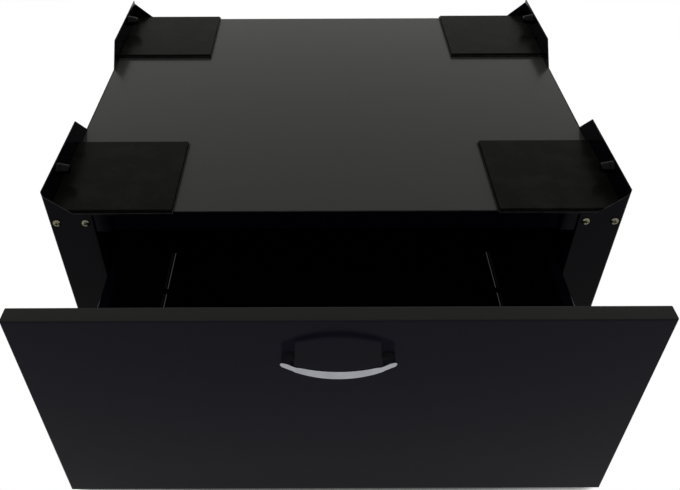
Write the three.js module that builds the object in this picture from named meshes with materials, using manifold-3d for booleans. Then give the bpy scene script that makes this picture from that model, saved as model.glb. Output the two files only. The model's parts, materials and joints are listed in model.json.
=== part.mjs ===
// A steel laundry pedestal: a low cabinet that a washing machine stands on, with a wide drawer in it.
// Millimetres, +Z up. Each piece is drawn where it sits with the drawer shut: x is measured from the
// middle of the cabinet, y back from its front face and z up from the floor. The groups at the end then
// pull the drawer out and put the origin on the floor, in the middle of the space that the whole part takes.
import * as THREE from 'three';
import { mergeVertices } from 'three/addons/utils/BufferGeometryUtils.js';
import Module from 'manifold-3d';

const wasm = await Module();
wasm.setup();

// ---- driving dimensions ----

const sheet = 1.2; // thickness of every folded steel panel
const bendRadius = 1.6; // on the middle of the sheet
const gap = 0.3; // between pieces that touch

const cabinet = { width: 630, depth: 525, height: 300, clearance: 8 };
const lip = { height: 30, length: 148, slope: 32 }; // upstands that keep the machine on
const ear = { width: 25, top: 25, foot: 3 }; // the sloping end of each lip, folded across the corner
const stile = { width: 50, returnDepth: 13, clearOfRail: 28 };
const rearFlange = 30;
const bottomFlange = 30;
const ledge = { width: 17, from: 190, to: 335 }; // tab that the deck's edge lies on, between the lips

const deck = { setBack: 6, rail: 24, railReturn: 10, tabLength: 64, tabSetBack: 1.5, joggle: 4.5 };
const brace = { fromEnd: 70, flange: 10, top: 24, depth: 26, endGap: 1 };
const back = { lift: 4, flange: 18 };
const pad = { size: 135, plate: 4.5, rubber: 4.5, rim: 1, rearGap: 11, notch: 1.5, overhang: 2 };
const baseRail = { height: 20, depth: 40, endTab: 25, rearHeight: 50, rearLip: 13 };

const stop = { fromEnd: 58, height: 21, acrossFlats: 13, head: 5.3, nut: 6.5, shankRadius: 3.9, reach: 15.5 };
const panScrew = { headRadius: 4.4, headHeight: 2.4, shankRadius: 2, length: 10 };
const stileScrews = { drop: 10.5, places: [306.5, 275] };
const foot = { radius: 14, x: 295, fromEnd: 42, stem: 3.7, barb: 5.4, barbHeight: 4.7 };

const slide = { length: 450, from: 22, centreHeight: 120 };
const cage = { length: 210, strip: 0.4, balls: 5, endSpace: 15 };
const carrier = { web: 64, flange: 13, from: 16, to: 500 };

const pulledOut = 136.2; // how far the drawer stands open
const front = { height: 288, bottom: 11, thickness: 19.7, returnWidth: 16, shutGap: 4.5, edgeRadius: 2 };
const innerFace = { fromEdge: 11, thickness: 1 }; // the box's own front wall, behind the drawer's front
const box = { outerWall: 251.7, top: 221, floor: 34, depth: 468, rimWidth: 11.3, rimDrop: 8, upturn: 12 };
const boxBack = { top: 200, flange: 10 };
const floorSlot = { width: 1.2, length: 84, pitch: 94, count: 4, fromWall: 2.6, first: 20 };
const handle = { height: 253.5, length: 111, reach: 29, endReach: 14, bar: 3.4, tall: 8 };
const handlePost = { apart: 96, width: 11 };
const bumper = { radius: 4, tip: 3.2, x: 309.3, height: 268, depth: 3.9 };

const halfWidth = cabinet.width / 2;
const deckTop = cabinet.height;
const wallInside = halfWidth - sheet;
const openingHalf = halfWidth - stile.width;
const frontBack = -front.shutGap; // the back of the drawer's front when shut
const frontFace = frontBack - front.thickness;
const cageShare = 4; // a ball cage rolls at a quarter, or three quarters, of the drawer's travel

// ---- shapes and solids ----

const point = (a, b) => new THREE.Vector2(a, b);

// The section of a bent sheet, from the line that runs along the middle of its thickness.
function bentSheet(line, thickness = sheet, radius = bendRadius, steps = 3) {
  const corners = line.map(([a, b]) => point(a, b));
  const oneSide = [];
  const otherSide = [];
  const addPair = (middle, across) => {
    oneSide.push(middle.clone().addScaledVector(across, thickness / 2));
    otherSide.unshift(middle.clone().addScaledVector(across, -thickness / 2));
  };
  corners.forEach((corner, i) => {
    const before = corners[i - 1];
    const after = corners[i + 1];
    const into = (before ? corner.clone().sub(before) : after.clone().sub(corner)).normalize();
    const across = point(-into.y, into.x);
    if (!before || !after) {
      addPair(corner, across);
      return;
    }
    const out = after.clone().sub(corner).normalize();
    const turn = Math.atan2(into.cross(out), into.dot(out));
    const hand = Math.sign(turn);
    const start = corner.clone().addScaledVector(into, -radius * Math.tan(Math.abs(turn) / 2));
    const centre = start.clone().addScaledVector(across, hand * radius);
    for (let k = 0; k <= steps; k++) {
      const turned = across.clone().rotateAround(point(0, 0), (turn * k) / steps);
      addPair(centre.clone().addScaledVector(turned, -hand * radius), turned);
    }
  });
  return new THREE.Shape([...oneSide, ...otherSide]);
}

const polygon = (corners) => new THREE.Shape(corners.map(([a, b]) => point(a, b)));

function regularPolygon(sides, acrossFlats, centreA, centreB) {
  const radius = acrossFlats / 2 / Math.cos(Math.PI / sides);
  const corners = Array.from({ length: sides }, (_, i) => {
    const angle = (i * 2 * Math.PI) / sides;
    return [centreA + radius * Math.cos(angle), centreB + radius * Math.sin(angle)];
  });
  return polygon(corners);
}

// An outline drawn in (x, y) made into a solid that rises from z0 to z1.
const rising = (shape, z0, z1, bevel = {}) =>
  new THREE.ExtrudeGeometry(shape, { depth: z1 - z0, bevelEnabled: false, ...bevel }).translate(0, 0, z0);

// An outline drawn in (x, z) made into a solid that runs back from y0 to y1.
const runningBack = (shape, y0, y1, bevel = {}) =>
  new THREE.ExtrudeGeometry(shape, { depth: y1 - y0, bevelEnabled: false, ...bevel })
    .rotateX(Math.PI / 2)
    .translate(0, y1, 0);

const acrossFrame = new THREE.Matrix4().makeBasis(
  new THREE.Vector3(0, 1, 0),
  new THREE.Vector3(0, 0, 1),
  new THREE.Vector3(1, 0, 0),
);

// An outline drawn in (y, z) made into a solid that runs across from x0 to x1.
const runningAcross = (shape, x0, x1, bevel = {}) =>
  new THREE.ExtrudeGeometry(shape, { depth: x1 - x0, bevelEnabled: false, ...bevel })
    .applyMatrix4(acrossFrame)
    .translate(x0, 0, 0);

const block = ([x0, x1], [y0, y1], [z0, z1]) =>
  new THREE.BoxGeometry(x1 - x0, y1 - y0, z1 - z0).translate((x0 + x1) / 2, (y0 + y1) / 2, (z0 + z1) / 2);

// A rod along one axis, for a shank or to cut a hole.
function rod(axis, radius, from, to, sides = 16) {
  const cylinder = new THREE.CylinderGeometry(radius, radius, to - from, sides);
  cylinder.translate(0, (from + to) / 2, 0);
  if (axis === 'x') return cylinder.rotateZ(-Math.PI / 2);
  if (axis === 'z') return cylinder.rotateX(Math.PI / 2);
  return cylinder;
}

function solid(geometry) {
  const bare = geometry.clone();
  bare.deleteAttribute('normal');
  bare.deleteAttribute('uv');
  const merged = mergeVertices(bare, 1e-4);
  const triVerts = Uint32Array.from(merged.index.array);
  return new wasm.Manifold(
    new wasm.Mesh({ numProp: 3, vertProperties: merged.attributes.position.array, triVerts }),
  );
}

const join = (...geometries) => geometries.map(solid).reduce((whole, next) => whole.add(next));
const cut = (whole, ...geometries) => geometries.reduce((left, tool) => left.subtract(solid(tool)), whole);

function surface(body) {
  const { vertProperties, triVerts } = body.getMesh();
  const geometry = new THREE.BufferGeometry();
  geometry.setAttribute('position', new THREE.BufferAttribute(vertProperties, 3));
  geometry.setIndex(new THREE.BufferAttribute(triVerts, 1));
  geometry.computeVertexNormals();
  return geometry;
}

// ---- finishes ----

const finish = (color, roughness, metalness) =>
  new THREE.MeshStandardMaterial({ color, roughness, metalness });

const blackEnamel = finish(0x26272b, 0.32, 0.1);
const rubberBlack = finish(0x1d1d1b, 0.9, 0);
const zincSteel = finish(0xb9b7ae, 0.35, 0.9);
const blackSteel = finish(0x2c2c2c, 0.45, 0.6);
const platedScrew = finish(0xd2c9a8, 0.25, 0.95);
const satinChrome = finish(0xc9c9ce, 0.2, 1);

// ---- cabinet ----

const lipEnd = cabinet.depth - lip.length;
const farAbove = lip.height + 20;

// Both ends of a side carry a lip; this is what is cut away between them, seen from the side.
const betweenLips = polygon([
  [lip.length, deckTop + farAbove],
  [lip.length, deckTop + lip.height],
  [lip.length + lip.slope, deckTop],
  [lipEnd - lip.slope, deckTop],
  [lipEnd, deckTop + lip.height],
  [lipEnd, deckTop + farAbove],
]);

// What is cut away above an ear and the stile or flange below it, seen from the front.
const aboveEar = polygon([
  [-wallInside - gap, deckTop + farAbove],
  [-wallInside - gap, deckTop + ear.top],
  [-halfWidth + ear.width, deckTop + ear.foot],
  [-halfWidth + ear.width, deckTop - gap],
  [-openingHalf + stile.width, deckTop - gap],
  [-openingHalf + stile.width, deckTop + farAbove],
]);

// One side of the cabinet, folded from one sheet: front stile with a return, wall, and rear flange.
function sidePanel() {
  const middle = sheet / 2;
  const plan = bentSheet([
    [-openingHalf - middle, stile.returnDepth],
    [-openingHalf - middle, middle],
    [-halfWidth + middle, middle],
    [-halfWidth + middle, cabinet.depth - middle],
    [-halfWidth + rearFlange, cabinet.depth - middle],
  ]);
  const bottom = cabinet.clearance;
  const inWall = -wallInside - middle;
  const ledgeTop = deckTop - 1.5 * sheet;
  const folded = join(
    rising(plan, bottom, deckTop + lip.height),
    block([inWall, -halfWidth + bottomFlange], [middle, cabinet.depth - middle], [bottom, bottom + sheet]),
    block([inWall, -wallInside + ledge.width], [ledge.from, ledge.to], [ledgeTop - sheet, ledgeTop]),
  );
  const returnX = [-openingHalf - 2 * bendRadius, -openingHalf + gap];
  const returnY = [sheet, stile.returnDepth + gap];
  const screwHoles = stileScrews.places.map((x) =>
    rod('y', panScrew.shankRadius + gap, -gap, 2 * sheet).translate(-x, 0, deckTop - stileScrews.drop),
  );
  const stopHoles = [stop.fromEnd, cabinet.depth - stop.fromEnd].map((y) =>
    rod('x', stop.shankRadius + gap, -halfWidth - gap, -wallInside + gap).translate(0, y, deckTop + stop.height),
  );
  const footHoles = [foot.fromEnd, cabinet.depth - foot.fromEnd].map((y) =>
    rod('z', foot.stem + gap, bottom - gap, bottom + 3 * sheet).translate(-foot.x, y, 0),
  );
  return surface(
    cut(
      folded,
      runningAcross(betweenLips, -halfWidth - gap, -openingHalf + gap),
      runningBack(aboveEar, -gap, bendRadius * 2),
      runningBack(aboveEar, cabinet.depth - bendRadius * 2, cabinet.depth + gap),
      block(returnX, returnY, [deckTop - stile.clearOfRail, deckTop + farAbove]),
      ...screwHoles,
      ...stopHoles,
      ...footHoles,
    ),
  );
}

// The deck: a flat top with its front folded down into a rail whose ends step forward behind the
// stiles, where the screws hold them, and its back folded down above the back panel.
function topDeck() {
  const middle = sheet / 2;
  const end = wallInside - gap - bendRadius;
  const step = wallInside - deck.tabLength;
  const railLine = [
    [-end, deck.tabSetBack + middle],
    [-step, deck.tabSetBack + middle],
    [-step + deck.joggle, deck.setBack + middle],
    [step - deck.joggle, deck.setBack + middle],
    [step, deck.tabSetBack + middle],
    [end, deck.tabSetBack + middle],
  ];
  const rear = cabinet.depth - sheet - gap;
  const edge = wallInside - gap;
  const plate = polygon([
    [-edge, deck.tabSetBack + 2 * bendRadius],
    ...railLine,
    [edge, deck.tabSetBack + 2 * bendRadius],
    [edge, rear - bendRadius],
    [end, rear],
    [-end, rear],
    [-edge, rear - bendRadius],
  ]);
  const railFoot = deckTop - deck.rail;
  const returnEnd = step - deck.joggle;
  const screwHoles = [-1, 1].flatMap((side) =>
    stileScrews.places.map((x) =>
      rod('y', panScrew.shankRadius + gap, 0, deck.setBack).translate(side * x, 0, deckTop - stileScrews.drop),
    ),
  );
  return surface(
    cut(
      join(
        rising(plate, deckTop - sheet, deckTop),
        rising(bentSheet(railLine, sheet, bendRadius, 2), railFoot, deckTop - middle),
        block(
          [-returnEnd, returnEnd],
          [deck.setBack + middle, deck.setBack + deck.railReturn],
          [railFoot, railFoot + sheet],
        ),
        block([-end, end], [rear - sheet, rear], [railFoot, deckTop - middle]),
      ),
      ...screwHoles,
    ),
  );
}

// A hat-section brace that spans the cabinet under the deck, below the machine's feet.
function deckBrace(middleY) {
  const top = deckTop - 1.5 * sheet - gap;
  const foot = top - brace.depth;
  const half = brace.top / 2;
  const section = bentSheet([
    [middleY - half - brace.flange, top],
    [middleY - half, top],
    [middleY - half, foot],
    [middleY + half, foot],
    [middleY + half, top],
    [middleY + half + brace.flange, top],
  ]);
  const end = wallInside - brace.endGap;
  return runningAcross(section, -end, end);
}

function backPanel() {
  const middleY = cabinet.depth - 1.5 * sheet - gap;
  const side = wallInside - 1.5 * sheet;
  const plan = bentSheet([
    [-side, middleY - back.flange],
    [-side, middleY],
    [side, middleY],
    [side, middleY - back.flange],
  ]);
  return rising(plan, cabinet.clearance + back.lift, deckTop - deck.rail - gap);
}

// The front base rail closes the frame under the drawer, its ends folded back beside the stiles.
function baseFrontRail() {
  const middle = sheet / 2;
  const end = openingHalf - gap - middle;
  const bottom = cabinet.clearance + sheet + gap;
  const plan = bentSheet([
    [-end, baseRail.endTab],
    [-end, middle],
    [end, middle],
    [end, baseRail.endTab],
  ]);
  return surface(
    join(
      rising(plan, bottom, bottom + baseRail.height),
      block([middle - end, end - middle], [middle, baseRail.depth], [bottom, bottom + sheet]),
    ),
  );
}

function baseRearRail() {
  const wallY = cabinet.depth - 3.5 * sheet;
  const bottom = cabinet.clearance + 2 * sheet;
  const section = bentSheet([
    [wallY, bottom + baseRail.rearHeight],
    [wallY, bottom],
    [wallY - baseRail.depth, bottom],
    [wallY - baseRail.depth, bottom + baseRail.rearLip],
  ]);
  const half = halfWidth - bottomFlange - sheet;
  return runningAcross(section, -half, half);
}

// Carries the fixed part of a slide out from the side wall to the edge of the drawer's opening.
function slideCarrier() {
  const wall = -wallInside + sheet / 2 + gap;
  const face = -openingHalf - sheet / 2;
  const top = slide.centreHeight + carrier.web / 2;
  const foot = slide.centreHeight - carrier.web / 2;
  const section = bentSheet([
    [wall, top + carrier.flange],
    [wall, top],
    [face, top],
    [face, foot],
    [wall, foot],
    [wall, foot - carrier.flange],
  ]);
  return runningBack(section, carrier.from, carrier.to);
}

// The raised tray in the front left corner: flush with the front, and notched round the ear.
function cornerOutline(inset = 0) {
  const outer = -wallInside + gap + inset;
  const inner = -halfWidth + pad.size + pad.overhang - inset;
  const notchEnd = -halfWidth + ear.width + gap + inset;
  return polygon([
    [outer, pad.notch + inset + bendRadius],
    [outer + bendRadius, pad.notch + inset],
    [notchEnd, pad.notch + inset],
    [notchEnd, inset],
    [inner, inset],
    [inner, pad.size - inset],
    [outer, pad.size - inset],
  ]);
}

function cornerPlate() {
  const bottom = deckTop + gap;
  const top = deckTop + pad.plate;
  const tray = solid(rising(cornerOutline(), bottom, top));
  return surface(cut(tray, rising(cornerOutline(sheet), bottom - sheet, top - sheet)));
}

const rubberPad = () => {
  const chamfer = 0.6;
  const bottom = deckTop + pad.plate + gap;
  const top = deckTop + pad.plate + pad.rubber;
  return rising(cornerOutline(pad.rim + chamfer), bottom + chamfer, top - chamfer, {
    bevelEnabled: true,
    bevelThickness: chamfer,
    bevelSize: chamfer,
    bevelSegments: 1,
  });
};

// A hexagon standing on the inside of a lip, one flat uppermost, its edges broken.
function hexagon(x0, x1, y, z) {
  const chamfer = 0.6;
  const shape = regularPolygon(6, stop.acrossFlats - 2 * chamfer, y, z);
  return runningAcross(shape, x0 + chamfer, x1 - chamfer, {
    bevelEnabled: true,
    bevelThickness: chamfer,
    bevelSize: chamfer,
    bevelSegments: 1,
  });
}

const stopTip = -halfWidth + stop.reach;

const stopBolt = () => {
  const z = deckTop + stop.height;
  const shank = rod('x', stop.shankRadius, -halfWidth + gap, stopTip - 1).translate(0, stop.fromEnd, z);
  return surface(join(hexagon(stopTip - stop.head, stopTip, stop.fromEnd, z), shank));
};

const lockNut = () => {
  const z = deckTop + stop.height;
  const wall = -wallInside + gap;
  const bore = rod('x', stop.shankRadius + gap, wall - 1, wall + stop.nut + 1).translate(0, stop.fromEnd, z);
  return surface(cut(solid(hexagon(wall, wall + stop.nut, stop.fromEnd, z)), bore));
};

// A pan-head screw with a cross recess. It points back from the origin, with its head in front.
function crossHeadScrew({ headRadius, headHeight, shankRadius, length }) {
  const segments = 20;
  const dome = [
    point(0, -headHeight),
    point(headRadius * 0.55, -headHeight * 0.94),
    point(headRadius * 0.88, -headHeight * 0.66),
    point(headRadius, -headHeight * 0.2),
    point(headRadius, 0),
    point(shankRadius, 0),
    point(shankRadius, length - shankRadius),
    point(shankRadius * 0.35, length),
    point(0, length),
  ];
  const recessDepth = headHeight * 0.62;
  const arm = headRadius * 0.62;
  const slotHalf = headRadius * 0.13;
  const bladeY = [-headHeight - 1, -headHeight + recessDepth];
  const whole = new THREE.LatheGeometry(dome, segments);
  return surface(
    cut(
      solid(whole),
      block([-arm, arm], bladeY, [-slotHalf, slotHalf]).rotateY(Math.PI / 5),
      block([-slotHalf, slotHalf], bladeY, [-arm, arm]).rotateY(Math.PI / 5),
    ),
  );
}

// A rubber foot pushed up into the bottom flange, held by a barb above it.
function pushInFoot() {
  const flange = cabinet.clearance;
  const profile = [
    point(0, 0),
    point(foot.radius - 2, 0),
    point(foot.radius, 1.6),
    point(foot.radius - 1, flange - gap),
    point(foot.stem, flange - gap),
    point(foot.stem, flange + sheet + gap),
    point(foot.barb, flange + sheet + gap),
    point(foot.stem * 0.6, flange + sheet + foot.barbHeight),
    point(0, flange + sheet + foot.barbHeight),
  ];
  return new THREE.LatheGeometry(profile, 20).rotateX(Math.PI / 2);
}

// ---- ball-bearing slides ----

// A slide's section is drawn with `out` measured from its carrier towards the drawer and `up` from its
// own middle, for the upper half only: the lower half is its mirror image.
const slideBack = -openingHalf + gap;

function slideSection(upperLine, thickness, radius) {
  const place = ([out, up]) => [slideBack + out, slide.centreHeight + up];
  const lowerLine = upperLine.map(([out, up]) => [out, -up]).reverse();
  return bentSheet([...upperLine.map(place), ...lowerLine.map(place)], thickness, radius, 2);
}

const raceRadius = 0.9;
const fixedMember = [[9.6, 19.6], [9.6, 22.1], [0.6, 22.1]];
const middleMember = [[8.9, 17.6], [8.9, 15.7], [2.8, 15.7]];
const drawerMember = [[5, 12.2], [5, 10.3], [12.1, 10.3]];
const outerCage = { line: [[8, 18.9], [1.7, 18.9]], ball: 2.4, at: [5.4, 18.9] };
const innerCage = { line: [[9.8, 13], [3.9, 13]], ball: 1.9, at: [7.6, 13] };

const slideMember = (line) =>
  runningBack(slideSection(line, sheet, raceRadius), slide.from, slide.from + slide.length);

// A strip bent round the member inside it, with the steel balls that it keeps apart. With the drawer
// shut it lies halfway along the members, so that it never leaves them.
function ballCage({ line, ball, at }) {
  const from = slide.from + (slide.length - cage.length) / 2;
  const strip = runningBack(slideSection(line, cage.strip, 0.6), from, from + cage.length);
  const pitch = (cage.length - 2 * cage.endSpace) / (cage.balls - 1);
  const balls = [-1, 1].flatMap((half) =>
    Array.from({ length: cage.balls }, (_, i) =>
      new THREE.SphereGeometry(ball, 8, 5).translate(
        slideBack + at[0],
        from + cage.endSpace + i * pitch,
        slide.centreHeight + half * at[1],
      ),
    ),
  );
  return surface(join(strip, ...balls));
}

// ---- drawer ----

// The front is a shallow folded box, its edges turned in behind and open at the back inside them.
function drawerFront() {
  const r = front.edgeRadius;
  const top = front.bottom + front.height;
  const face = polygon([
    [-halfWidth + r, front.bottom + r],
    [halfWidth - r, front.bottom + r],
    [halfWidth - r, top - r],
    [-halfWidth + r, top - r],
  ]);
  const outside = runningBack(face, frontFace + r, frontBack - r, {
    bevelEnabled: true,
    bevelThickness: r,
    bevelSize: r,
    bevelSegments: 3,
  });
  const shell = [
    [-halfWidth + sheet, halfWidth - sheet],
    [frontFace + sheet, frontBack - sheet],
    [front.bottom + sheet, top - sheet],
  ];
  const w = front.returnWidth;
  const opening = [
    [-halfWidth + w, halfWidth - w],
    [frontBack - 2 * sheet, frontBack + sheet],
    [front.bottom + w, top - w],
  ];
  const screwHoles = [-1, 1].map((side) =>
    rod('y', panScrew.shankRadius + gap, frontFace - sheet, frontFace + 2 * sheet).translate(
      (side * handlePost.apart) / 2,
      0,
      handle.height,
    ),
  );
  return surface(cut(solid(outside), block(...shell), block(...opening), ...screwHoles));
}

// The box's own front wall, which covers the open back of the drawer front.
const innerFrontBack = frontBack + gap + innerFace.thickness;

const innerFront = () => {
  const edge = innerFace.fromEdge;
  return block(
    [-halfWidth + edge, halfWidth - edge],
    [frontBack + gap, innerFrontBack],
    [front.bottom + edge, front.bottom + front.height - edge],
  );
};

// A side wall of the box, its top edge folded out over the slide and down into a short rim.
function drawerSide() {
  const wall = -box.outerWall + sheet / 2;
  const rim = wall - box.rimWidth;
  const top = box.top - sheet / 2;
  const section = bentSheet([
    [rim, top - box.rimDrop],
    [rim, top],
    [wall, top],
    [wall, box.floor],
  ]);
  return runningBack(section, innerFrontBack + gap, box.depth);
}

// The floor, turned up inside the side walls, with a row of slots punched along each bend.
function drawerFloor() {
  const edge = box.outerWall - 1.5 * sheet - gap;
  const level = box.floor + sheet / 2;
  const section = bentSheet([
    [-edge, level + box.upturn],
    [-edge, level],
    [edge, level],
    [edge, level + box.upturn],
  ]);
  const from = innerFrontBack + gap;
  const slots = [-1, 1].flatMap((side) =>
    Array.from({ length: floorSlot.count }, (_, i) => {
      const start = from + floorSlot.first + i * floorSlot.pitch;
      const middle = side * (edge - floorSlot.fromWall);
      const half = floorSlot.width / 2;
      return block([middle - half, middle + half], [start, start + floorSlot.length], [level - sheet, level + sheet]);
    }),
  );
  return surface(cut(solid(runningBack(section, from, box.depth - sheet - gap)), ...slots));
}

function drawerBack() {
  const middle = box.depth - sheet / 2;
  const section = bentSheet([
    [middle, box.floor],
    [middle, boxBack.top],
    [middle + boxBack.flange, boxBack.top],
  ]);
  const half = box.outerWall - sheet - gap;
  return runningAcross(section, -half, half);
}

// A bow handle seen from above: a bar that arcs out between two posts, cast as one piece.
function bowHandle() {
  const end = handle.length / 2;
  const sag = handle.reach - handle.endReach;
  const radius = (end * end + sag * sag) / (2 * sag);
  const centre = frontFace - handle.reach + radius;
  const sweep = Math.asin(end / radius);
  const inner = radius - handle.bar;
  const arc = (r, from, to, steps) =>
    Array.from({ length: steps + 1 }, (_, i) => {
      const angle = from + ((to - from) * i) / steps;
      return [r * Math.sin(angle), centre - r * Math.cos(angle)];
    });
  const postFace = frontFace - gap;
  const half = handlePost.apart / 2;
  const innerPost = half - handlePost.width / 2;
  const outerPost = half + handlePost.width / 2;
  const atInner = (x) => centre - Math.sqrt(inner * inner - x * x);
  const outline = [
    ...arc(radius, -sweep, sweep, 20),
    [end - 1, atInner(end - 1) - 0.2],
    [outerPost, atInner(outerPost)],
    [outerPost - 0.8, postFace],
    [innerPost + 0.8, postFace],
    [innerPost, atInner(innerPost) + 1.2],
    ...arc(inner, Math.asin((innerPost - 2.4) / inner), -Math.asin((innerPost - 2.4) / inner), 16),
    [-innerPost, atInner(innerPost) + 1.2],
    [-innerPost - 0.8, postFace],
    [-outerPost + 0.8, postFace],
    [-outerPost, atInner(outerPost)],
    [-end + 1, atInner(end - 1) - 0.2],
  ];
  const round = 1;
  const tall = handle.tall / 2;
  const body = solid(
    rising(polygon(outline), handle.height - tall + round, handle.height + tall - round, {
      bevelEnabled: true,
      bevelThickness: round,
      bevelSize: round,
      bevelOffset: -round,
      bevelSegments: 2,
    }),
  );
  const bores = [-1, 1].map((side) =>
    rod('y', panScrew.shankRadius + gap, frontFace - 9, frontFace).translate(side * half, 0, handle.height),
  );
  return surface(cut(body, ...bores));
}

const shutBumper = () =>
  new THREE.CylinderGeometry(bumper.tip, bumper.radius, bumper.depth, 20).translate(
    -bumper.x,
    frontBack + gap + bumper.depth / 2,
    bumper.height,
  );

// ---- assembly ----

const pedestal = new THREE.Group();
const drawer = new THREE.Group();
const middleMembers = new THREE.Group();
const outerCages = new THREE.Group();
const innerCages = new THREE.Group();

function add(group, name, geometry, material) {
  const mesh = new THREE.Mesh(geometry, material);
  mesh.name = name;
  group.add(mesh);
  return mesh;
}

// A piece drawn for the left side, and its mirror image for the right.
function addPair(group, name, geometry, material) {
  add(group, `${name}_left`, geometry, material);
  add(group, `${name}_right`, geometry, material).scale.x = -1;
}

// A piece drawn for the front left corner, and its mirror images for the other three. `rearEdge` is
// how far back the mirror image of the cabinet's front face stands.
function addAtCorners(group, name, geometry, material, rearEdge = cabinet.depth) {
  addPair(group, `${name}_front`, geometry, material);
  const rear = new THREE.Group();
  rear.position.y = rearEdge;
  rear.scale.y = -1;
  group.add(rear);
  addPair(rear, `${name}_rear`, geometry, material);
}

addPair(pedestal, 'side_panel', sidePanel(), blackEnamel);
add(pedestal, 'top_deck', topDeck(), blackEnamel);
add(pedestal, 'deck_brace_front', deckBrace(brace.fromEnd), blackEnamel);
add(pedestal, 'deck_brace_rear', deckBrace(cabinet.depth - brace.fromEnd), blackEnamel);
add(pedestal, 'back_panel', backPanel(), blackEnamel);
add(pedestal, 'base_front_rail', baseFrontRail(), blackEnamel);
add(pedestal, 'base_rear_rail', baseRearRail(), blackEnamel);
addPair(pedestal, 'slide_carrier', slideCarrier(), blackEnamel);
addAtCorners(pedestal, 'corner_plate', cornerPlate(), blackEnamel, cabinet.depth - pad.rearGap);
addAtCorners(pedestal, 'rubber_pad', rubberPad(), rubberBlack, cabinet.depth - pad.rearGap);
addAtCorners(pedestal, 'stop_bolt', stopBolt(), blackSteel);
addAtCorners(pedestal, 'lock_nut', lockNut(), blackSteel);
addAtCorners(pedestal, 'foot', pushInFoot().translate(-foot.x, foot.fromEnd, 0), rubberBlack);

const screwGeometry = crossHeadScrew(panScrew);
stileScrews.places.forEach((x, i) => {
  const name = `stile_screw_${['outer', 'inner'][i]}`;
  const placed = screwGeometry.clone().translate(-x, -gap, deckTop - stileScrews.drop);
  addPair(pedestal, name, placed, platedScrew);
});

addPair(pedestal, 'slide_fixed', slideMember(fixedMember), zincSteel);
addPair(middleMembers, 'slide_middle', slideMember(middleMember), zincSteel);
addPair(outerCages, 'ball_cage_outer', ballCage(outerCage), zincSteel);
addPair(innerCages, 'ball_cage_inner', ballCage(innerCage), zincSteel);
addPair(drawer, 'slide_drawer', slideMember(drawerMember), zincSteel);

add(drawer, 'drawer_front', drawerFront(), blackEnamel);
add(drawer, 'drawer_inner_front', innerFront(), blackEnamel);
addPair(drawer, 'drawer_side', drawerSide(), blackEnamel);
add(drawer, 'drawer_floor', drawerFloor(), blackEnamel);
add(drawer, 'drawer_back', drawerBack(), blackEnamel);
add(drawer, 'handle', bowHandle(), satinChrome);
addPair(drawer, 'shut_bumper', shutBumper(), rubberBlack);

const handleScrew = crossHeadScrew({ ...panScrew, headRadius: 3.8, length: 8 })
  .rotateX(Math.PI)
  .translate(-handlePost.apart / 2, frontFace + sheet + gap, handle.height);
addPair(drawer, 'handle_screw', handleScrew, platedScrew);

// The drawer is pulled out, the middle members follow by half, and the cages by their share.
drawer.position.y = -pulledOut;
middleMembers.position.y = -pulledOut / 2;
outerCages.position.y = -pulledOut / cageShare;
innerCages.position.y = (-pulledOut * (cageShare - 1)) / cageShare;
pedestal.add(drawer, middleMembers, outerCages, innerCages);

// The handle is the foremost point and the cabinet's back the rearmost.
const foremost = frontFace - handle.reach - pulledOut;
pedestal.position.y = -(foremost + cabinet.depth) / 2;

export default pedestal;
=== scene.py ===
import json
import math

import bmesh
import bpy
from mathutils import Matrix, Vector


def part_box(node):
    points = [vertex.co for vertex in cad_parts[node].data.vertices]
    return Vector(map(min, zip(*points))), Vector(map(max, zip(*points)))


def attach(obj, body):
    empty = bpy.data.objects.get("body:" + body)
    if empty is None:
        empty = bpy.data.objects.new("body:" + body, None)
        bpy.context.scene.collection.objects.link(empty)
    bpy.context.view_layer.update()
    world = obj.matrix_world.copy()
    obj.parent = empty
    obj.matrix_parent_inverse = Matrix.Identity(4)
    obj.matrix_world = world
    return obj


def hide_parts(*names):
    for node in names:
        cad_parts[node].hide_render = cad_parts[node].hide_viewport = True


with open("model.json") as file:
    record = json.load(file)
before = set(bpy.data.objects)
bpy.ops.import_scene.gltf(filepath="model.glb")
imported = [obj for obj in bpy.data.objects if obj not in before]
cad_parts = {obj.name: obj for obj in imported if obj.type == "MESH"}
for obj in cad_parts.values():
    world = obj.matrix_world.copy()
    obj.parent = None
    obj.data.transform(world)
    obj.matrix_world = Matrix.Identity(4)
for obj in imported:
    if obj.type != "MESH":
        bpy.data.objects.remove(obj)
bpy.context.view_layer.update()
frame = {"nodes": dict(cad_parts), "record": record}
scene = bpy.context.scene
bodyOf = {node: body for body, nodes in frame["record"]["behaviour"]["bodies"].items() for node in nodes}
mm = 0.001
print("frame loaded:", len(frame["nodes"]), "nodes")


def shade(red, green, blue):
    # a colour as a screen shows it, 0 to 255, made linear
    screen = (red, green, blue)
    linear = [((c / 255 + 0.055) / 1.055) ** 2.4 if c > 10 else c / 255 / 12.92 for c in screen]
    return (*linear, 1)


# camera, as the photograph was taken

shot = {
    "place": (-0.017, -0.7889, 0.7764),
    "yaw": -0.045,
    "pitch": 42.063,
    "roll": 0.244,
    "frame": (680, 490),
    "focalPixels": 715.98,
    "centrePixel": (319.97, 271.62),
    "sensorWidth": 36,
    "clip": (0.01, 100),
}


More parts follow.
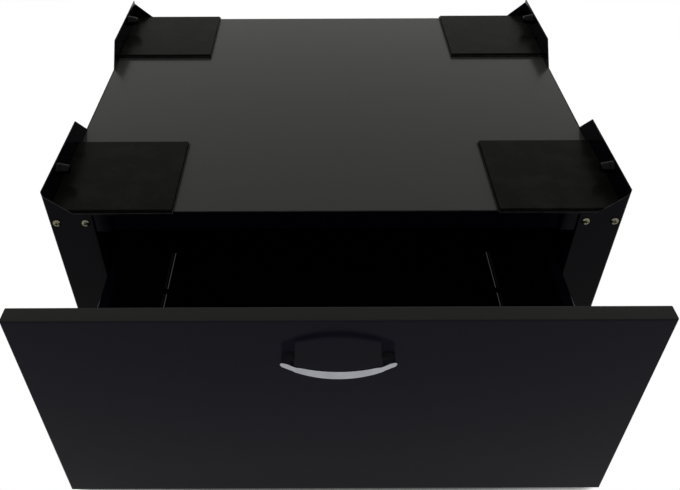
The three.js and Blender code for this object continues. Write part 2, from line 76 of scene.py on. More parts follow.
def makeCamera():
    yaw, pitch, roll = (math.radians(shot[key]) for key in ("yaw", "pitch", "roll"))
    forward = Vector((math.sin(yaw) * math.cos(pitch), math.cos(yaw) * math.cos(pitch), -math.sin(pitch)))
    level = Vector((math.cos(yaw), -math.sin(yaw), 0))
    down = forward.cross(level)
    right = level * math.cos(roll) + down * math.sin(roll)
    down = down * math.cos(roll) - level * math.sin(roll)
    lens = bpy.data.cameras.new("camera")
    width, height = shot["frame"]
    lens.sensor_width = shot["sensorWidth"]
    lens.lens = shot["focalPixels"] / width * lens.sensor_width
    lens.shift_x = (width / 2 - shot["centrePixel"][0]) / width
    lens.shift_y = (shot["centrePixel"][1] - height / 2) / width
    lens.clip_start, lens.clip_end = shot["clip"]
    camera = bpy.data.objects.new("camera", lens)
    turn = Matrix((right, -down, -forward)).transposed().to_4x4()
    camera.matrix_world = Matrix.Translation(shot["place"]) @ turn
    scene.collection.objects.link(camera)
    scene.camera = camera


makeCamera()
scene.view_settings.view_transform = "Standard"
print("camera placed")


# materials

class Wire:
    # one output socket: arithmetic on it adds Math nodes
    def __init__(self, paint, socket):
        self.paint = paint
        self.socket = socket

    def __add__(self, other):
        return self.paint.maths("ADD", self, other)

    def __sub__(self, other):
        return self.paint.maths("SUBTRACT", self, other)

    def __mul__(self, other):
        return self.paint.maths("MULTIPLY", self, other)

    def __or__(self, other):
        return self.paint.maths("MAXIMUM", self, other)

    __radd__ = __add__

    def above(self, low, high):
        # 0 under low, 1 over high, smooth between
        settings = {"interpolation_type": "SMOOTHSTEP"}
        sockets = {"Value": self, "From Min": low, "From Max": high}
        return self.paint.add("ShaderNodeMapRange", settings, sockets)["Result"]


class Outputs:
    def __init__(self, paint, node):
        self.paint = paint
        self.node = node

    def __getitem__(self, name):
        return Wire(self.paint, next(s for s in self.node.outputs if s.enabled and s.name == name))


class Paint:
    # the nodes of one material, or of the world
    def __init__(self, owner):
        owner.use_nodes = True
        self.owner = owner
        self.tree = owner.node_tree
        self.tree.nodes.clear()

    def add(self, kind, settings={}, sockets={}):
        node = self.tree.nodes.new(kind)
        for key, value in settings.items():
            setattr(node, key, value)
        for key, value in sockets.items():
            if isinstance(key, int):
                socket = node.inputs[key]
            else:
                socket = next(s for s in node.inputs if s.enabled and s.name == key)
            if isinstance(value, Wire):
                self.tree.links.new(value.socket, socket)
            else:
                socket.default_value = value
        return Outputs(self, node)

    def maths(self, operation, *terms):
        return self.add("ShaderNodeMath", {"operation": operation}, dict(enumerate(terms)))["Value"]

    def place(self, stretch=(1, 1, 1)):
        spot = self.add("ShaderNodeTexCoord")["Object"]
        if stretch == (1, 1, 1):
            return spot
        return self.add("ShaderNodeMapping", {}, {"Vector": spot, "Scale": stretch})["Vector"]

    def noise(self, place, grain, detail=2, roughness=0.5):
        # grain is the size of a blotch in metres
        sockets = {"Vector": place, "Scale": 1 / grain, "Detail": detail, "Roughness": roughness}
        return self.add("ShaderNodeTexNoise", {}, sockets)["Fac"]

    def mixed(self, factor, first, second):
        sockets = {"Factor": factor, "A": first, "B": second}
        return self.add("ShaderNodeMix", {"data_type": "RGBA"}, sockets)["Result"]

    def bump(self, height, depth, under=None):
        sockets = {"Height": height, "Distance": depth, "Strength": 1}
        if under:
            sockets["Normal"] = under
        return self.add("ShaderNodeBump", {}, sockets)["Normal"]

    def finish(self, **sockets):
        named = {key.replace("_", " "): value for key, value in sockets.items()}
        surface = self.add("ShaderNodeBsdfPrincipled", {}, named)["BSDF"]
        self.add("ShaderNodeOutputMaterial", {}, {"Surface": surface})
        return self.owner


def newPaint(name):
    return Paint(bpy.data.materials.new(name))


coat = {
    "mark": 0.11,
    "markRoughens": 0.1,
    "dust": 0.0011,
    "dustFrom": (0.72, 0.8),
    "dustPatch": 0.05,
    "dustPatchFrom": (0.4, 0.7),
    "dustPaler": 0.012,
    "dustCovers": 0.5,
    "dustRoughens": 0.15,
    "wear": 0.012,
    "wearFrom": (0.3, 0.6),
    "wearCovers": 0.8,
    "wearRoughens": 0.1,
    # the paler colour of rubbed edges: worn paint, and a painted highlight along the edge
    "worn": shade(38, 38, 40),
    "peel": 0.0016,
    "peelDeep": 4e-6,
    "wave": 0.12,
    "waveDeep": 0.00025,
}


def enamel(name, colour, roughness, gloss):
    # stove enamel on steel: orange peel, slow waves in the sheet, handling marks, dust, and rubbed edges
    # painted paler, which stand for worn paint and also paint in a highlight along the edge
    paint = newPaint(name)
    spot = paint.place()
    marks = paint.noise(spot, coat["mark"], 4, 0.6)
    patches = paint.noise(spot, coat["dustPatch"]).above(*coat["dustPatchFrom"])
    dust = paint.noise(spot, coat["dust"], 1).above(*coat["dustFrom"]) * patches
    # rubbed and lit edges: worn paint in patches, which is also a painted edge highlight
    rubbed_and_lit = paint.add("ShaderNodeAttribute", {"attribute_name": "rubbed_and_lit"})["Fac"]
    worn = rubbed_and_lit * paint.noise(spot, coat["wear"], 3, 0.6).above(*coat["wearFrom"])
    dusty = tuple(c + coat["dustPaler"] for c in colour[:3]) + (1,)
    used = paint.mixed(dust * coat["dustCovers"], colour, dusty)
    rougher = dust * coat["dustRoughens"] + worn * coat["wearRoughens"]
    peel = paint.noise(spot, coat["peel"], 2, 0.6)
    wave = paint.noise(spot, coat["wave"], 1)
    return paint.finish(
        Base_Color=paint.mixed(worn * coat["wearCovers"], used, coat["worn"]),
        Roughness=roughness + (marks - 0.5) * coat["markRoughens"] + rougher,
        Specular_IOR_Level=gloss,
        Normal=paint.bump(peel, coat["peelDeep"], paint.bump(wave, coat["waveDeep"])),
    )


skin = {
    "pebble": 0.0011,
    "pebbleDeep": 0.00002,
    "cloud": 0.03,
    "cloudFrom": (0.42, 0.75),
    "cloudCovers": 0.6,
    "cloudDeep": 0.0002,
    "paler": (1.5, 0.003),
    "roughness": (0.2, 0.14),
}


def rubber(name, colour, gloss):
    # moulded rubber with a fine pebbled skin and a little grey dust in it
    paint = newPaint(name)
    spot = paint.place()
    voronoi = {"Vector": spot, "Scale": 1 / skin["pebble"]}
    pebbles = paint.add("ShaderNodeTexVoronoi", {"feature": "SMOOTH_F1"}, voronoi)["Distance"]
    cloud = paint.noise(spot, skin["cloud"], 4, 0.6)
    times, plus = skin["paler"]
    pale = tuple(c * times + plus for c in colour[:3]) + (1,)
    least, more = skin["roughness"]
    return paint.finish(
        Base_Color=paint.mixed(cloud.above(*skin["cloudFrom"]) * skin["cloudCovers"], colour, pale),
        Roughness=least + cloud * more,
        Specular_IOR_Level=gloss,
        Normal=paint.bump(pebbles, skin["pebbleDeep"], paint.bump(cloud, skin["cloudDeep"])),
    )


zinc = {
    "alongSlide": (1, 0.02, 1),
    "streak": 0.0006,
    "streakDeep": 4e-6,
    "streakRoughens": 0.16,
    "cast": 0.03,
    "castFrom": (0.35, 0.65),
    "castRoughens": 0.06,
    "bluish": (0.42, 0.44, 0.47, 1),
    "yellowish": (0.52, 0.5, 0.43, 1),
    "roughness": 0.24,
}


def zincPlate(name):
    # bright zinc on rolled steel: streaks along the slide, and a cast between bluish and yellowish
    paint = newPaint(name)
    streaks = paint.noise(paint.place(zinc["alongSlide"]), zinc["streak"], 3)
    cast = paint.noise(paint.place(), zinc["cast"], 3, 0.6)
    return paint.finish(
        Base_Color=paint.mixed(cast.above(*zinc["castFrom"]), zinc["bluish"], zinc["yellowish"]),
        Metallic=1,
        Roughness=zinc["roughness"] + streaks * zinc["streakRoughens"] + cast * zinc["castRoughens"],
        Normal=paint.bump(streaks, zinc["streakDeep"]),
    )


plating = {
    "cast": 0.003,
    "castFrom": (0.35, 0.65),
    "bright": (0.2, 0.19, 0.125, 1),
    "dull": (0.12, 0.115, 0.085, 1),
    "grain": 0.0003,
    "grainDeep": 4e-6,
    "grainRoughens": 0.14,
    "roughness": 0.16,
}


def screwPlate(name):
    # yellowish plate on a screw, darkened in patches
    paint = newPaint(name)
    spot = paint.place()
    cast = paint.noise(spot, plating["cast"])
    grain = paint.noise(spot, plating["grain"])
    return paint.finish(
        Base_Color=paint.mixed(cast.above(*plating["castFrom"]), plating["bright"], plating["dull"]),
        Metallic=1,
        Roughness=plating["roughness"] + grain * plating["grainRoughens"],
        Normal=paint.bump(grain, plating["grainDeep"]),
    )


ballSteel = {
    "haze": 0.001,
    "clear": (0.5, 0.5, 0.52, 1),
    "hazy": (0.6, 0.6, 0.6, 1),
    "roughness": (0.06, 0.08),
}


def polishedSteel(name):
    # bearing balls, with a thin haze of grease
    paint = newPaint(name)
    haze = paint.noise(paint.place(), ballSteel["haze"], 3)
    base = paint.mixed(haze, ballSteel["clear"], ballSteel["hazy"])
    least, more = ballSteel["roughness"]
    return paint.finish(Base_Color=base, Metallic=1, Roughness=least + haze * more)


chrome = {
    "alongBar": (0.05, 1, 1),
    "streak": 0.0005,
    "streakDeep": 1.5e-6,
    "streakRoughens": 0.08,
    "cloud": 0.02,
    "cloudFrom": (0.3, 0.7),
    "dark": (0.3, 0.305, 0.33, 1),
    "light": (0.34, 0.345, 0.37, 1),
    "roughness": 0.14,
}


def satinChrome(name):
    # chrome on a polished casting: clean, with faint fine streaks along the bar
    paint = newPaint(name)
    streaks = paint.noise(paint.place(chrome["alongBar"]), chrome["streak"], 3)
    cloud = paint.noise(paint.place(), chrome["cloud"])
    return paint.finish(
        Base_Color=paint.mixed(cloud.above(*chrome["cloudFrom"]), chrome["dark"], chrome["light"]),
        Metallic=1,
        Roughness=chrome["roughness"] + streaks * chrome["streakRoughens"],
        Normal=paint.bump(streaks, chrome["streakDeep"]),
    )


paints = {
    # deck and rim are paler copies of the body and front paint, for faces that face up: painted light from
    # above
    "deck": enamel("deck_lit_top_enamel", shade(34, 34, 31), roughness=0.2, gloss=0.1),
    "body": enamel("body_enamel", shade(3, 3, 7), roughness=0.16, gloss=0.04),
    "front": enamel("front_enamel", shade(13, 12, 20), roughness=0.14, gloss=0.042),
    "rim": enamel("rim_lit_top_enamel", shade(20, 20, 18), roughness=0.2, gloss=0.07),
    "plate": enamel("plate_enamel", shade(7, 7, 8), roughness=0.2, gloss=0.06),
    "stop": enamel("stop_enamel", shade(2, 2, 2), roughness=0.16, gloss=0.055),
    "rubber": rubber("pad_rubber", shade(10, 10, 7), gloss=0.015),
    "zinc": zincPlate("zinc_plate"),
    "screw": screwPlate("screw_plate"),
    "steel": polishedSteel("ball_steel"),
    "chrome": satinChrome("satin_chrome"),
}
print("materials made:", len(paints))


# making a mesh into a piece

stoodFor = set()  # CAD nodes that a piece stands for
weld = {"distance": 1e-6, "flatWithin": 0.5, "spunDistance": 1e-4}


def pieceFrom(shape, name, paint, like, replaced=True, sharpAngle=35):
    # like is the CAD node that the piece stands for, or whose body and finish it shares
    mesh = bpy.data.meshes.new(name)
    shape.to_mesh(mesh)
    shape.free()
    mesh.shade_smooth()
    mesh.set_sharp_from_angle(angle=math.radians(sharpAngle))
    mesh.materials.append(paints[paint])
    piece = bpy.data.objects.new(name, mesh)
    scene.collection.objects.link(piece)
    weights = piece.modifiers.new("face weights", "WEIGHTED_NORMAL")
    weights.keep_sharp = True
    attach(piece, bodyOf[like])
    if replaced:
        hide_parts(like)
        stoodFor.add(like)
    return piece


def evaluated(shape, kind, settings):
    # the mesh after one modifier
    mesh = bpy.data.meshes.new("work")
    shape.to_mesh(mesh)
    shape.free()
    work = bpy.data.objects.new("work", mesh)
    scene.collection.objects.link(work)
    modifier = work.modifiers.new("work", kind)
    for key, value in settings.items():
        setattr(modifier, key, value)
    result = bpy.data.meshes.new_from_object(work.evaluated_get(bpy.context.evaluated_depsgraph_get()))
    after = bmesh.new()
    after.from_mesh(result)
    bpy.data.objects.remove(work)
    bpy.data.meshes.remove(mesh)
    bpy.data.meshes.remove(result)
    return after


def carved(shape, tool):
    # what is left of a shape when a tool has gone into it
    mesh = bpy.data.meshes.new("tool")
    tool.to_mesh(mesh)
    tool.free()
    cutter = bpy.data.objects.new("tool", mesh)
    scene.collection.objects.link(cutter)
    settings = {"operation": "DIFFERENCE", "solver": "EXACT", "object": cutter}
    after = evaluated(shape, "BOOLEAN", settings)
    bpy.data.objects.remove(cutter)
    bpy.data.meshes.remove(mesh)
    return after


def mergedCopy(node):
    # a CAD node with its vertices welded and its flat facets run together
    shape = bmesh.new()
    shape.from_mesh(frame["nodes"][node].data)
    bmesh.ops.remove_doubles(shape, verts=shape.verts, dist=weld["distance"])
    flatter = math.radians(weld["flatWithin"])
    bmesh.ops.dissolve_limit(shape, angle_limit=flatter, verts=shape.verts, edges=shape.edges)
    return shape


def roundEdges(shape, width, segments=2, sharperThan=40, chosen=None):
    # sharp edges get a small radius, and the faces along them are marked as rubbed and lit: the enamel
    # paints them paler, as worn paint and as a painted highlight along the edge
    layer = shape.loops.layers.float_color.get("rubbed_and_lit") or shape.loops.layers.float_color.new("rubbed_and_lit")
    sharp = [e for e in shape.edges if e.calc_face_angle(0) > math.radians(sharperThan)]
    rounded = bmesh.ops.bevel(
        shape,
        geom=[e for e in sharp if chosen is None or chosen(e)],
        offset=width,
        offset_type="OFFSET",
        segments=segments,
        profile=0.5,
        affect="EDGES",
        clamp_overlap=True,
        material=-1,
    )
    for face in shape.faces:
        for loop in face.loops:
            loop[layer] = (0, 0, 0, 1)
    for face in rounded["faces"]:
        for loop in face.loops:
            loop[layer] = (1, 1, 1, 1)


def turned(profile, steps=32):
    # a solid turned about the x axis, from pairs of x and radius in millimetres
    shape = bmesh.new()
    line = [shape.verts.new((x, 0, radius)) for x, radius in profile]
    edges = [shape.edges.new(pair) for pair in zip(line, line[1:])]
    about = {"cent": (0, 0, 0), "axis": (1, 0, 0), "angle": 2 * math.pi, "steps": steps}
    bmesh.ops.spin(shape, geom=line + edges, use_merge=True, **about)
    bmesh.ops.remove_doubles(shape, verts=shape.verts, dist=weld["spunDistance"])
    bmesh.ops.recalc_face_normals(shape, faces=shape.faces)
    return shape


def slab(outline, bottom, top, taper=1):
    # an outline in x and y, raised, and scaled towards its middle at the top
    shape = bmesh.new()
    face = shape.faces.new([shape.verts.new((x, y, bottom)) for x, y in outline])
    middle = face.calc_center_median()
    risen = bmesh.ops.extrude_face_region(shape, geom=[face])["geom"]
    upper = [v for v in risen if isinstance(v, bmesh.types.BMVert)]
    bmesh.ops.scale(shape, vec=(taper, taper, 1), space=Matrix.Translation(-middle), verts=upper)
    bmesh.ops.translate(shape, vec=(0, 0, top - bottom), verts=upper)
    bmesh.ops.recalc_face_normals(shape, faces=shape.faces)
    return shape


def joined(shapes):
    # several shapes as one mesh, each left as it is
    whole = bmesh.new()
    mesh = bpy.data.meshes.new("joining")
    for shape in shapes:
        shape.to_mesh(mesh)
        shape.free()
        whole.from_mesh(mesh)
    bpy.data.meshes.remove(mesh)
    return whole


def moved(shape, turn=Matrix(), by=(0, 0, 0), size=1):
    # scaled, then turned, then shifted
    matrix = Matrix.Translation(by) @ turn @ Matrix.Scale(size, 4)
    bmesh.ops.transform(shape, matrix=matrix, verts=shape.verts)
    return shape


# the four corners: x is millimetres from the middle, y from the cabinet's face, z from the ground

cabinet = {"front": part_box("side_panel_left")[0][1], "depth": 525, "deck": 300}
corners = [(end, hand) for end in ("front", "rear") for hand in ("left", "right")]


def atCorner(shape, end, hand):
    # from the front left corner, in millimetres, to any corner, in metres
    back = end == "rear"
    bmesh.ops.scale(shape, vec=(-1 if hand == "right" else 1, -1 if back else 1, 1), verts=shape.verts)
    bmesh.ops.translate(shape, vec=(0, cabinet["depth"] if back else 0, 0), verts=shape.verts)
    moved(shape, by=(0, cabinet["front"], 0), size=mm)
    bmesh.ops.recalc_face_normals(shape, faces=shape.faces)
    return shape


platform = {
    "wall": -313.6,
    "gap": 0.05,
    "plateInner": -177.5,
    "plateRear": 143.4,
    "notchEnd": -285.6,
    "notchDeep": 1.5,
    "cutOff": 2,
    "plateTop": 302,
    "plateEdge": 0.35,
    "padInner": -178.9,
    "padFront": 3.3,
    "padRear": 142,
    "padTop": 304.9,
    "padCorner": 0.9,
    "padEdge": 0.55,
}


def makePlatform(end, hand):
    # the steel plate and the rubber on it that a foot of the machine stands on
    p = platform
    plate = slab(
        [
            (p["wall"], p["notchDeep"] + p["cutOff"]),
            (p["wall"] + p["cutOff"], p["notchDeep"]),
            (p["notchEnd"], p["notchDeep"]),
            (p["notchEnd"], p["gap"]),
            (p["plateInner"], p["gap"]),
            (p["plateInner"], p["plateRear"]),
            (p["wall"], p["plateRear"]),
        ],
        cabinet["deck"] + p["gap"],
        p["plateTop"],
    )
    roundEdges(plate, p["plateEdge"])
    pieceFrom(atCorner(plate, end, hand), f"plate_{end}_{hand}", "plate", f"corner_plate_{end}_{hand}")
    sides = [(p["wall"], p["padFront"]), (p["padInner"], p["padFront"])]
    sides += [(p["padInner"], p["padRear"]), (p["wall"], p["padRear"])]
    pad = slab(sides, p["plateTop"] + p["gap"], p["padTop"])
    upright = lambda edge: abs(edge.verts[0].co.z - edge.verts[1].co.z) > 1
    roundEdges(pad, p["padCorner"], 3, chosen=upright)
    roundEdges(pad, p["padEdge"], 3)
    pieceFrom(atCorner(pad, end, hand), f"pad_{end}_{hand}", "rubber", f"rubber_pad_{end}_{hand}")


stop = {
    "fromEnd": 58,
    "height": 321,
    "collar": [(-313.7, 0), (-313.7, 7.2), (-313.2, 7.6), (-309.4, 7.0), (-308.9, 6.6), (-308.9, 0)],
    "head": [
        (-308.7, 0),
        (-308.7, 6.2),
        (-308.2, 6.6),
        (-301.2, 5.2),
        (-300.4, 4.9),
        (-299.8, 4.3),
        (-299.5, 3.3),
        (-299.5, 1.8),
        (-301, 1.6),
        (-301.3, 0),
    ],
    "shank": [(-314.7, 0), (-314.7, 3.4), (-314.3, 3.9), (-308, 3.9), (-308, 0)],
    "socket": [(-315.5, 0), (-315.5, 2.1), (-312.6, 2.1), (-312, 0)],
    "socketSides": 6,
}


def makeStop(end, hand):
    # a tapered stop that is screwed through the lip, and the collar that locks it
    seat = (0, stop["fromEnd"], stop["height"])
    collar = atCorner(moved(turned(stop["collar"]), by=seat), end, hand)
    pieceFrom(collar, f"stop_collar_{end}_{hand}", "stop", f"lock_nut_{end}_{hand}")
    shank = carved(turned(stop["shank"]), turned(stop["socket"], stop["socketSides"]))
    whole = atCorner(moved(joined([turned(stop["head"]), shank]), by=seat), end, hand)
    pieceFrom(whole, f"stop_{end}_{hand}", "stop", f"stop_bolt_{end}_{hand}")


for end, hand in corners:
    makePlatform(end, hand)
    makeStop(end, hand)
print("corners made")


# screws

screw = {"radius": 4.4, "height": 2.4, "shank": 2, "length": 10, "recess": 3.0, "arm": 0.75, "deep": 1.9}
panHead = {
    # shares of the height and of the radius
    "dome": [(1, 0), (1, 0.35), (0.95, 0.6), (0.8, 0.8), (0.5, 0.94), (0.2, 1), (0, 1)],
    "tip": 0.35,
    "recessTaper": 0.45,
}


def crossScrew(radius, height, shank, length, recess, arm, deep):
    # a pan-head screw that points back along y from its seat at the origin, in millimetres
    dome = [(-height * up, radius * out) for up, out in panHead["dome"]]
    point = [(0, shank), (length - shank, shank), (length, shank * panHead["tip"]), (length, 0)]
    corner = [(recess, arm), (arm, arm), (arm, recess)]
    quarters = ((1, 1, 1), (-1, 1, -1), (-1, -1, 1), (1, -1, -1))
    cross = [(sx * x, sy * y) for sx, sy, way in quarters for x, y in corner[::way]]
    upright = Matrix.Rotation(math.pi / 2, 4, "Y")
    tool = moved(slab(cross, -deep - 1, 0, panHead["recessTaper"]), turn=upright, by=(-height + deep, 0, 0))
    return moved(carved(turned(dome + point), tool), turn=Matrix.Rotation(math.pi / 2, 4, "Z"))


def placeScrew(name, like, place, turn=0, replaced=True, **changes):
    shape = crossScrew(**{**screw, **changes})
    spin = Matrix.Rotation(turn, 4, "Z")
    pieceFrom(moved(shape, turn=spin, by=place, size=mm), name, "screw", like, replaced, sharpAngle=30)


for node in sorted(n for n in frame["nodes"] if n.startswith("stile_screw")):
    low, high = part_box(node)
    seat = ((low[0] + high[0]) / 2, cabinet["front"] - 0.1 * mm, (low[2] + high[2]) / 2)
    placeScrew(node + "_cross", node, seat)
print("screws set")


# the handle: a bow on two flat posts, run together with soft fillets

bow = {
    "height": 253.5,
    "half": 57,
    "reach": 29,
    "endReach": 14,
    "deep": (4.9, 4.0),  # in the middle, at the ends
    "tall": (9.5, 5.4),
    "squareness": 0.75,
    "sides": 24,
    "steps": 48,
    "postAt": 48.5,
    "post": (6.6, 3.1),
    "postSides": 32,
    "gap": 0.1,
    "root": 0.7,  # of each post, which the smoothing leaves alone
    "voxel": 0.45,
    "smoothing": 8,
    "fillet": 60,
    "filletReach": (12, 6),
}


def makeHandle():
    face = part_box("drawer_front")[0][1] / mm
    half, sag = bow["half"], bow["reach"] - bow["endReach"]
    radius = (half * half + sag * sag) / (2 * sag)
    middle = face - bow["reach"] + radius
    sweep = math.asin(half / radius)
    bar = bmesh.new()
    bmesh.ops.create_circle(bar, cap_ends=True, radius=1, segments=bow["sides"])
    for v in bar.verts:
        v.co.x, v.co.y = (math.copysign(abs(c) ** bow["squareness"], c) for c in v.co.xy)
    standing = Matrix.Rotation(math.pi / 2, 4, "X")
    section = Matrix.Diagonal((bow["deep"][0] / 2, 1, bow["tall"][0] / 2, 1)) @ standing
    aside = Matrix.Rotation(-math.pi / 2 - sweep, 4, "Z")
    moved(bar, turn=aside @ Matrix.Translation((radius - bow["deep"][0] / 2, 0, 0)) @ section)
    around = {"cent": (0, 0, 0), "axis": (0, 0, 1), "angle": 2 * sweep, "steps": bow["steps"]}
    bmesh.ops.spin(bar, geom=bar.verts[:] + bar.edges[:] + bar.faces[:], **around)
    for v in bar.verts:
        out = v.co.xy.length
        thin = min(1, (v.co.x / half) ** 2)
        deep = 1 + (bow["deep"][1] / bow["deep"][0] - 1) * thin
        tall = 1 + (bow["tall"][1] / bow["tall"][0] - 1) * thin
        v.co.xy *= (radius - (radius - out) * deep) / out
        v.co.z *= tall
    moved(bar, by=(0, middle, 0))
    posts = []
    foot = face - bow["gap"]
    for side in (-1, 1):
        x = side * bow["postAt"]
        reach = middle - math.sqrt(radius * radius - x * x) + bow["deep"][1] / 2
        post = bmesh.new()
        round_ = {"segments": bow["postSides"], "radius1": 1, "radius2": 1}
        bmesh.ops.create_cone(post, cap_ends=True, depth=foot - reach, **round_)
        shaped = Matrix.Diagonal((bow["post"][0], 1, bow["post"][1], 1)) @ standing
        posts.append(moved(post, turn=shaped, by=(x, (foot + reach) / 2, 0)))
    whole = joined([bar] + posts)
    bmesh.ops.recalc_face_normals(whole, faces=whole.faces)
    whole = evaluated(whole, "REMESH", {"mode": "VOXEL", "voxel_size": bow["voxel"]})
    free = [v for v in whole.verts if v.co.y < face - bow["root"]]
    meeting = middle - math.sqrt(radius * radius - bow["postAt"] ** 2) + bow["deep"][1]
    across, along = bow["filletReach"]
    near = [v for v in free if abs(v.co.y - meeting) < along]
    crook = [v for v in near if abs(abs(v.co.x) - bow["postAt"]) < across]
    everyWay = {"factor": 0.5, "use_axis_x": True, "use_axis_y": True, "use_axis_z": True}
    for verts, turns in ((crook, bow["fillet"]), (free, bow["smoothing"])):
        for turn in range(turns):
            bmesh.ops.smooth_vert(whole, verts=verts, **everyWay)
    moved(whole, by=(0, 0, bow["height"] * mm), size=mm)
    pieceFrom(whole, "bow_handle", "chrome", "handle", sharpAngle=60)


makeHandle()
print("handle made")


# the slides: rolled members with their screws, and balls in cages

slide = {
    "height": 120,
    "back": 264.7,
    "webs": {"slide_fixed": 0.6, "slide_middle": 2.8, "slide_drawer": 12.1},  # in from the back
    "edge": 0.15,
    "holes": {"slide_fixed": (37, 101, 261, 389), "slide_drawer": (35, 99, 227, 355)},
    "hole": (2.6, 2.3),
    "windows": (120, 225, 330),
    "window": (35, 7),
    "through": 1.5,
    "screw": {"radius": 4.2, "height": 1.8, "length": 2.5, "deep": 1.2},
    "screwSeat": 0.6,
}
cage = {
    "ball_cage_outer": {"out": (8, 1.7), "up": 18.9, "ball": 2.4, "ballOut": 5.4},
    "ball_cage_inner": {"out": (9.8, 3.9), "up": 13, "ball": 1.9, "ballOut": 7.6},
}
strip = {"thickness": 0.4, "bend": 0.8, "balls": 5, "endSpace": 15, "pocketGap": 0.15}


def capsule(half, radius, thick):
    # a slot-shaped tool through a web, its length along y, in millimetres
    angles = [(step + 0.5) * math.pi / 12 for step in range(24)]
    across = [radius * math.sin(a) for a in angles]
    along = [math.copysign(half - radius, math.cos(a)) + radius * math.cos(a) for a in angles]
    shape = slab(list(zip(across, along)), -thick, thick)
    return moved(shape, turn=Matrix.Rotation(math.pi / 2, 4, "Y"))


def makeMember(node, hand):
    side = -1 if hand == "left" else 1
    low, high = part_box(node)
    family = node.rsplit("_", 1)[0]
    web = side * (slide["back"] - slide["webs"][family])
    shape = mergedCopy(node)
    roundEdges(shape, slide["edge"] * mm)
    places = slide["holes"].get(family, slide["windows"])
    size = slide["hole"] if family in slide["holes"] else slide["window"]
    holes = []
    for at in places:
        spot = (web * mm, low[1] + at * mm, slide["height"] * mm)
        holes.append(moved(capsule(*size, slide["through"]), by=spot, size=mm))
    pieceFrom(carved(shape, joined(holes)), node + "_rolled", "zinc", node)
    if family == "slide_drawer":
        for index, at in enumerate(places):
            seat = ((web + side * slide["screwSeat"]) * mm, low[1] + at * mm, slide["height"] * mm)
            placeScrew(f"{node}_screw_{index}", node, seat, side * -math.pi / 2, False, **slide["screw"])


def makeCage(node, hand):
    side = -1 if hand == "left" else 1
    low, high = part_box(node)
    c = cage[node.rsplit("_", 1)[0]]
    length = (high[1] - low[1]) / mm
    line = bmesh.new()
    far, near = c["out"]
    path = [(far, c["up"]), (near, c["up"]), (near, -c["up"]), (far, -c["up"])]
    points = [line.verts.new((side * (slide["back"] - out), 0, up)) for out, up in path]
    edges = [line.edges.new(pair) for pair in zip(points, points[1:])]
    drawn = bmesh.ops.extrude_edge_only(line, edges=edges)["geom"]
    end = [v for v in drawn if isinstance(v, bmesh.types.BMVert)]
    bmesh.ops.translate(line, vec=(0, length, 0), verts=end)
    bends = [e for e in line.edges if len(e.link_faces) == 2]
    bending = {"offset": strip["bend"], "segments": 3, "profile": 0.5, "affect": "EDGES", "material": -1}
    bmesh.ops.bevel(line, geom=bends, **bending)
    bmesh.ops.recalc_face_normals(line, faces=line.faces)
    shell = evaluated(line, "SOLIDIFY", {"thickness": strip["thickness"], "offset": 0})
    pitch = (length - 2 * strip["endSpace"]) / (strip["balls"] - 1)
    pockets, balls = [], []
    for up in (-1, 1):
        for index in range(strip["balls"]):
            across = side * (slide["back"] - c["ballOut"])
            spot = (across, strip["endSpace"] + index * pitch, up * c["up"])
            for made, grown in ((pockets, strip["pocketGap"]), (balls, 0)):
                ball = bmesh.new()
                bmesh.ops.create_icosphere(ball, subdivisions=3, radius=c["ball"] + grown)
                made.append(moved(ball, by=spot))
    place = (0, low[1], slide["height"] * mm)
    shell = carved(shell, joined(pockets))
    pieceFrom(moved(shell, by=place, size=mm), node + "_strip", "zinc", node)
    pieceFrom(moved(joined(balls), by=place, size=mm), node + "_balls", "steel", node, False)


for hand in ("left", "right"):
    for family in slide["webs"]:
        makeMember(f"{family}_{hand}", hand)
    for family in cage:
        makeCage(f"{family}_{hand}", hand)
print("slides made")


# the rest is taken over from the frame, with facets merged and sharp edges rounded

edgeOf = {
    "side_panel": ("body", 0.25),
    "top_deck": ("body", 0.25),
    "deck_brace": ("body", 0.25),
    "back_panel": ("body", 0.25),
    "base_front_rail": ("body", 0.25),
    "base_rear_rail": ("body", 0.25),
    "slide_carrier": ("body", 0.25),
    "foot": ("rubber", 0.3),
    "drawer_front": ("front", 0),  # its edges are round in the frame
    "drawer_inner_front": ("body", 0.2),
    "drawer_side": ("body", 0.25),
    "drawer_floor": ("body", 0.25),
    "drawer_back": ("body", 0.25),
    "handle_screw": ("screw", 0.08),
    "shut_bumper": ("rubber", 0.3),
}
litTopPaint = {"top_deck": "deck", "drawer_front": "rim"}  # faces that face up get a paler copy of the paint: painted light from above
flat = 0.8
ear = {"from": (290, 303), "to": (286, 301), "near": 0.2, "above": 299.5, "slope": (0.3, 0.97), "aside": 0.3}


def lengthenEars(shape):
    # the foot of each ear runs a little further across the corner
    for v in shape.verts:
        x, z = abs(v.co.x) / mm, v.co.z / mm
        if abs(x - ear["from"][0]) < ear["near"] and z > ear["above"]:
            v.co.x = math.copysign(ear["to"][0] * mm, v.co.x)
            if abs(z - ear["from"][1]) < ear["near"]:
                v.co.z = ear["to"][1] * mm


def rubAndLightEars(shape):
    # the sloping edge of each ear is marked like a rounded edge, so its paint is paler: worn paint and a
    # painted highlight along the slope
    layer = shape.loops.layers.float_color["rubbed_and_lit"]
    least, most = ear["slope"]
    for face in shape.faces:
        sloping = least < face.normal.z < most and abs(face.normal.x) > ear["aside"]
        if sloping and face.calc_center_median().z > cabinet["deck"] * mm:
            for loop in face.loops:
                loop[layer] = (1, 1, 1, 1)


def takeOver(node):
    family = max((name for name in edgeOf if node.startswith(name)), key=len)
    paint, width = edgeOf[family]
    shape = mergedCopy(node)
    if family == "side_panel":
        lengthenEars(shape)
    if width:
        roundEdges(shape, width * mm)
    if family == "side_panel":
        rubAndLightEars(shape)
    piece = pieceFrom(shape, node + "_shell", paint, node)
    # faces that face up take the paler copy of the paint: painted light from above
    if family in litTopPaint:
        piece.data.materials.append(paints[litTopPaint[family]])
        for face in piece.data.polygons:
            face.material_index = 1 if face.normal.z > flat else 0


for node in sorted(set(frame["nodes"]) - stoodFor):
    takeOver(node)


# floor and world: plain even light, and a white ground that the camera and the gloss both see

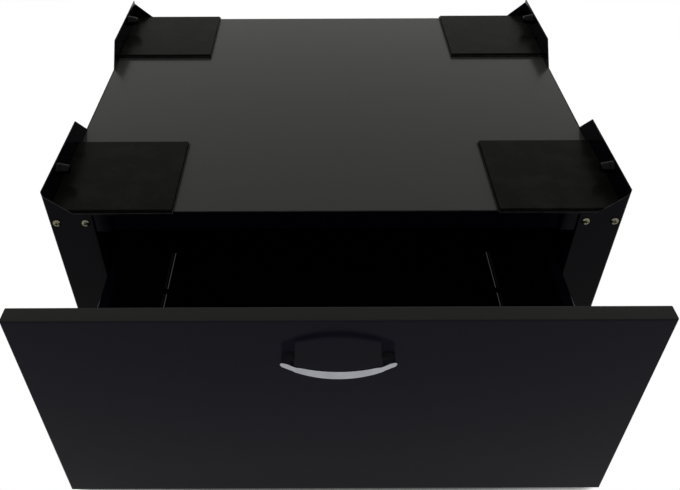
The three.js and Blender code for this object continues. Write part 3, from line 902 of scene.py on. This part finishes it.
studio = {
    "floorHalf": 3.0,
    "floorDrop": 0.0005,
    "floorPaint": 0.8,
    "white": 1.0,
    "plain": 1.0,  # what matt surfaces are lit by
    "shadowReach": 0.45,
    "shadowSamples": 16,
    "shadowFades": (0.24, 0.6),
    "shadowDim": 0.05,  # what is left of the white in the deepest shadow
}


def backgroundRays(paint):
    path = paint.add("ShaderNodeLightPath")
    return path["Is Camera Ray"] | path["Is Glossy Ray"] | path["Is Transmission Ray"]


def makeFloor():
    paint = newPaint("studio_floor")
    reach = {"Distance": studio["shadowReach"], "Color": (1, 1, 1, 1)}
    open_ = paint.add("ShaderNodeAmbientOcclusion", {"samples": studio["shadowSamples"]}, reach)["AO"]
    lit = open_.above(*studio["shadowFades"]) * (studio["white"] - studio["shadowDim"])
    strength = lit + studio["shadowDim"]
    white = paint.add("ShaderNodeEmission", {}, {"Strength": strength})["Emission"]
    matt = paint.add("ShaderNodeBsdfDiffuse", {}, {"Color": (studio["floorPaint"],) * 3 + (1,)})["BSDF"]
    surface = paint.add("ShaderNodeMixShader", {}, {0: backgroundRays(paint), 1: matt, 2: white})["Shader"]
    paint.add("ShaderNodeOutputMaterial", {}, {"Surface": surface})
    shape = bmesh.new()
    bmesh.ops.create_grid(shape, x_segments=1, y_segments=1, size=studio["floorHalf"])
    mesh = bpy.data.meshes.new("studio_floor")
    shape.to_mesh(mesh)
    shape.free()
    mesh.materials.append(paint.owner)
    floor = bpy.data.objects.new("studio_floor", mesh)
    floor.location.z = -studio["floorDrop"]
    scene.collection.objects.link(floor)


def makeWorld():
    world = bpy.data.worlds.new("studio")
    scene.world = world
    paint = Paint(world)
    sky = {"Color": (1, 1, 1, 1)}
    plain = paint.add("ShaderNodeBackground", {}, {**sky, "Strength": studio["plain"]})["Background"]
    white = paint.add("ShaderNodeBackground", {}, {**sky, "Strength": studio["white"]})["Background"]
    surface = paint.add("ShaderNodeMixShader", {}, {0: backgroundRays(paint), 1: plain, 2: white})["Shader"]
    paint.add("ShaderNodeOutputWorld", {}, {"Surface": surface})


makeFloor()
makeWorld()
print("studio lit")
